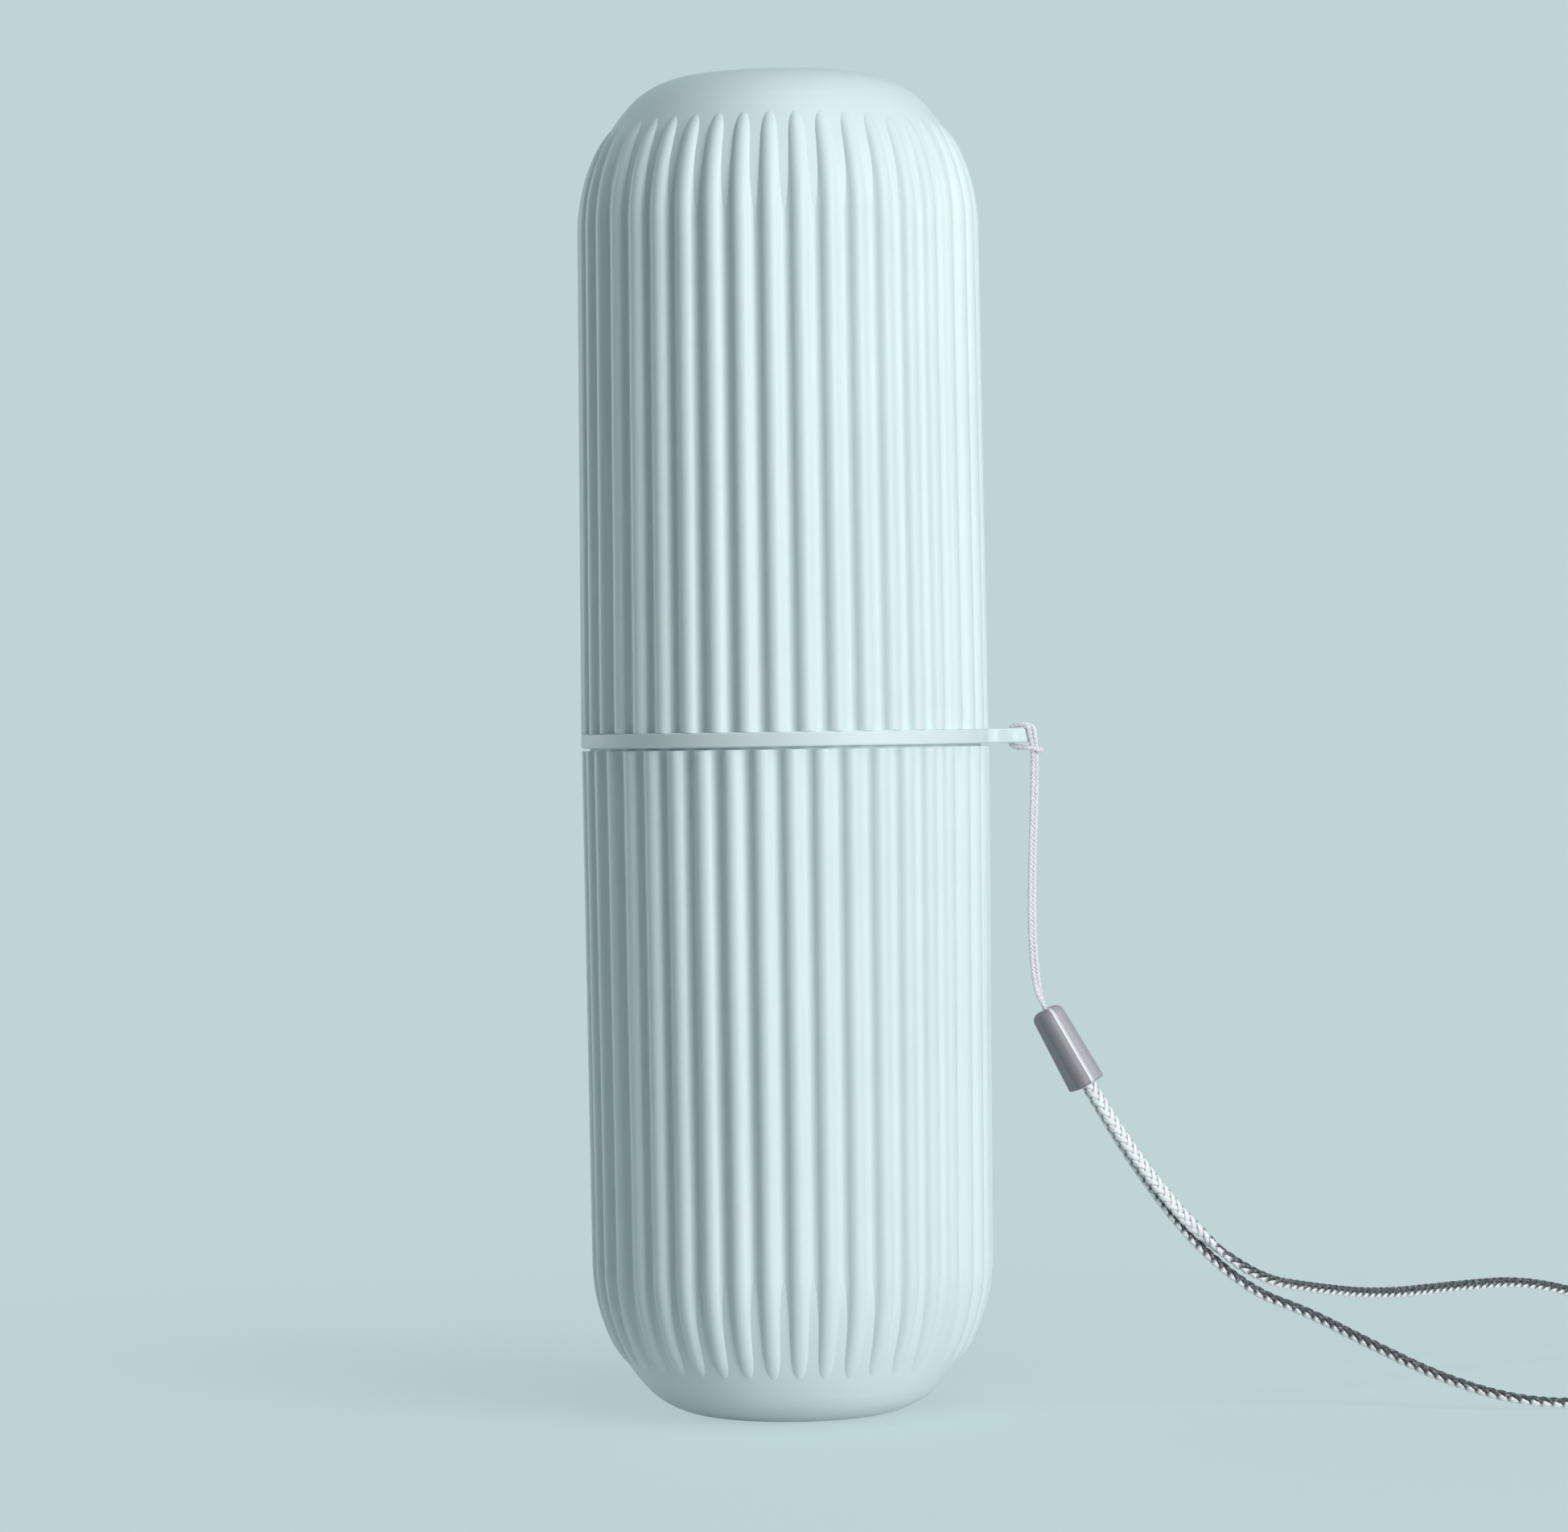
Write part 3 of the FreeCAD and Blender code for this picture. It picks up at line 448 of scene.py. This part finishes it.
# the string's yarn is like the cord's, but finer and white all round
stringLook = {
    **yarnLook, "white": "#fbf9fc", "whiteGrooveShade": "#ebe7ee",
    "filamentsPerStrand": 4, "roughness": 0.42, "sheen": 0.1,
}
thinString = {
    "exit": (0.0389, -0.0005, 0.0604), "length": 0.1214, "diameter": 0.0008,
    # two strands side by side, over the ear's end and down its hole, with the bight in front of them
    "route": [
        (0.04169, -0.00047, 0.05562), (0.03890, -0.00047, 0.0607), (0.03735, -0.00047, 0.0634),
        (0.03675, -0.00047, 0.0715), (0.03690, -0.00048, 0.082), (0.03732, -0.0005, 0.091),
        (0.03755, -0.00055, 0.0972), (0.03752, -0.00080, 0.1002), (0.03708, -0.00192, 0.1022),
        (0.03678, -0.00228, 0.10375), (0.03600, -0.00185, 0.10380), (0.03485, -0.0010, 0.10374),
        (0.03420, -0.00062, 0.1033), (0.03410, -0.0005, 0.1019), (0.03420, -0.00055, 0.10058),
        (0.03530, -0.0011, 0.10040), (0.0370, -0.00160, 0.10018), (0.03885, -0.00145, 0.09985),
        (0.03885, 0.00145, 0.09985), (0.0370, 0.00145, 0.10025), (0.03425, 0.0005, 0.10025),
        (0.03425, 0.0005, 0.1033), (0.03485, 0.0005, 0.10372), (0.03690, 0.0003, 0.10376),
        (0.03775, 0.0002, 0.1034), (0.03800, 0.0002, 0.1016), (0.03815, 0.0004, 0.0978),
        (0.03792, 0.0005, 0.091), (0.03750, 0.00048, 0.082), (0.03735, 0.00047, 0.0715),
        (0.03808, 0.00047, 0.0632), (0.03870, 0.00047, 0.0606), (0.04139, 0.00047, 0.05546),
    ],
    "braid": {
        "leadMm": 2.6, "stepsPerLead": 12, "carriersEachWay": 4, "firstCarrier": 0.25,
        "halfWidthMm": 0.27, "halfThickMm": 0.27, "weaveMm": 0.05,
        "strandHalfWidthMm": 0.17, "strandHalfThickMm": 0.08, "strandSides": 6,
        "coreShare": 0.92, "coreWhite": 1.0, "whiteEdge": -2.0,  # below any sine, so all of it is white
    },
    "facing": [(0.0, (0.0, -1.0, 0.1)), (1.0, (0.0, -1.0, 0.1))],
    "bendStart": (0.0370, 0.0, 0.1034), "bendEnd": (0.0370, 0.0, 0.0990),
}
stringLine = routeLine(thinString["route"])
stringYarn = braidedNylon("paleBraidedNylonString", stringLook, thinString["braid"]["leadMm"],
                          lineLength(stringLine) / mm)
stringPiece = braid("string_loop_braid", stringLine, thinString["braid"], thinString["facing"], stringYarn)
# the hitch stays on the ear, and the limp strands bend below it into the lanyard's swing
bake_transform(stringPiece, "ring", "lanyard", start=thinString["bendStart"], end=thinString["bendEnd"])
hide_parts("string_loop")
print("cords laid")

stage = {
    "backdrop": "#c0d4d6", "fillStrength": 0.02,
    "card": "#eef4f4", "cardRoughness": 0.9, "floorSide": 4.0, "floorCells": 8,
    "shadowShare": 0.20,  # how much of the floor's tone is lit at the case, so that a shadow shows
    "fadeStart": 0.02, "fadeEnd": 0.26,  # distances from the axis over which that share fades away
    "floorLight": 0.61,  # light on the bare floor, so that lit and flat tones agree
}


def directRays(tree):
    # 1 for what the camera sees, also by gloss and through clear things
    rays = addNode(tree, "ShaderNodeLightPath")
    direct = addNode(tree, "ShaderNodeMath", {"operation": "MAXIMUM"},
                     {0: rays.outputs["Is Camera Ray"], 1: rays.outputs["Is Glossy Ray"]})
    seen = addNode(tree, "ShaderNodeMath", {"operation": "MAXIMUM"},
                   {0: direct.outputs[0], 1: rays.outputs["Is Transmission Ray"]})
    return seen.outputs[0]


def paleFloor(name, look):
    # matte card: a flat tone to the camera that keeps the soft shadow near the case
    material, tree, shader = startMaterial(name, {
        "Base Color": linearFrom(look["card"]), "Roughness": look["cardRoughness"],
    })
    backdrop = linearFrom(look["backdrop"])
    place = addNode(tree, "ShaderNodeTexCoord").outputs["Object"]
    distance = addNode(tree, "ShaderNodeVectorMath", {"operation": "LENGTH"}, {0: place})
    lit = addNode(tree, "ShaderNodeMapRange", {
        "interpolation_type": "SMOOTHSTEP", fromLow: look["fadeStart"], fromHigh: look["fadeEnd"],
        toLow: look["shadowShare"], toHigh: 0.0,
    }, {0: distance.outputs["Value"]})
    flat = addNode(tree, "ShaderNodeMath", {"operation": "SUBTRACT", 0: 1.0}, {1: lit.outputs[0]})
    glow = addNode(tree, "ShaderNodeEmission", {"Color": backdrop}, {"Strength": flat.outputs[0]})
    level = addNode(tree, "ShaderNodeMath", {
        "operation": "DIVIDE", 1: look["floorLight"],
    }, {0: lit.outputs[0]})
    tone = addNode(tree, "ShaderNodeVectorMath", {
        "operation": "SCALE", 0: backdrop[:3],
    }, {"Scale": level.outputs[0]})
    shade = addNode(tree, "ShaderNodeBsdfDiffuse", None, {"Color": tone.outputs[0]})
    shown = addNode(tree, "ShaderNodeAddShader", None, {0: glow.outputs[0], 1: shade.outputs[0]})
    blend = addNode(tree, "ShaderNodeMixShader", None,
                    {0: directRays(tree), 1: shader.outputs[0], 2: shown.outputs[0]})
    tree.links.new(blend.outputs[0], tree.nodes["Material Output"].inputs["Surface"])
    return material


def studioWorld(name, look):
    # the backdrop's tone to the camera, and a weak fill of it on the case
    world = bpy.data.worlds.new(name)
    world.use_nodes = True
    tree = world.node_tree
    backdrop = linearFrom(look["backdrop"])
    fill = addNode(tree, "ShaderNodeBackground", {"Color": backdrop, "Strength": look["fillStrength"]})
    shown = addNode(tree, "ShaderNodeBackground", {"Color": backdrop})
    blend = addNode(tree, "ShaderNodeMixShader", None,
                    {0: directRays(tree), 1: fill.outputs[0], 2: shown.outputs[0]})
    tree.links.new(blend.outputs[0], tree.nodes["World Output"].inputs["Surface"])
    return world


floorBm = bmesh.new()
bmesh.ops.create_grid(floorBm, x_segments=stage["floorCells"], y_segments=stage["floorCells"],
                      size=stage["floorSide"] / 2)
floorMesh = bpy.data.meshes.new("floorCard")
floorBm.to_mesh(floorMesh)
floorBm.free()
floorMesh.materials.append(paleFloor("paleFloorCard", stage))
floorCard = bpy.data.objects.new("floorCard", floorMesh)
bpy.context.scene.collection.objects.link(floorCard)
bpy.context.scene.world = studioWorld("studioWorld", stage)

lamps = {
    "keySoftbox": {"place": (0.989, -1.060, 0.50), "side": 0.80, "watts": 12.4, "colour": "#ffffff"},
    "lowSoftbox": {"place": (0.932, -1.111, 0.12), "side": 0.60, "watts": 4.6, "colour": "#ffffff"},
    "leftRimPanel": {"place": (-0.866, 0.500, 0.20), "side": 0.70, "watts": 3.7, "colour": "#eaf8fa"},
    "topPanel": {"place": (0.180, -0.290, 1.10), "side": 0.60, "watts": 4.1, "colour": "#eaf8fa"},
}
lampAim = Vector((0.0, 0.0, 0.102))  # the middle of the case
for name, panel in lamps.items():
    lamp = bpy.data.lights.new(name, "AREA")
    lamp.shape = "SQUARE"
    lamp.size = panel["side"]
    lamp.energy = panel["watts"]
    lamp.color = linearFrom(panel["colour"])[:3]
    lampHolder = bpy.data.objects.new(name, lamp)
    lampHolder.location = panel["place"]
    lampHolder.rotation_euler = (lampAim - lampHolder.location).to_track_quat("-Z", "Y").to_euler()
    bpy.context.scene.collection.objects.link(lampHolder)

view = {
    "distance": 0.800, "height": 0.1041, "across": -0.00018, "nearest": 0.01,
    "focalPixels": 6544.8, "imageWidth": 1949, "sensorMm": 36.0,
    "pitch": 0.441, "roll": 0.80,  # degrees
}
camera = bpy.data.cameras.new("photoCamera")
camera.sensor_width = view["sensorMm"]
camera.lens = view["focalPixels"] / view["imageWidth"] * view["sensorMm"]
camera.clip_start = view["nearest"]
cameraHolder = bpy.data.objects.new("photoCamera", camera)
cameraHolder.location = (view["across"], -view["distance"], view["height"])
cameraHolder.rotation_euler = (math.radians(90 - view["pitch"]), math.radians(view["roll"]), 0)
bpy.context.scene.collection.objects.link(cameraHolder)
bpy.context.scene.camera = cameraHolder
bpy.context.scene.view_settings.view_transform = "Standard"
print("stage, lamps and camera set")
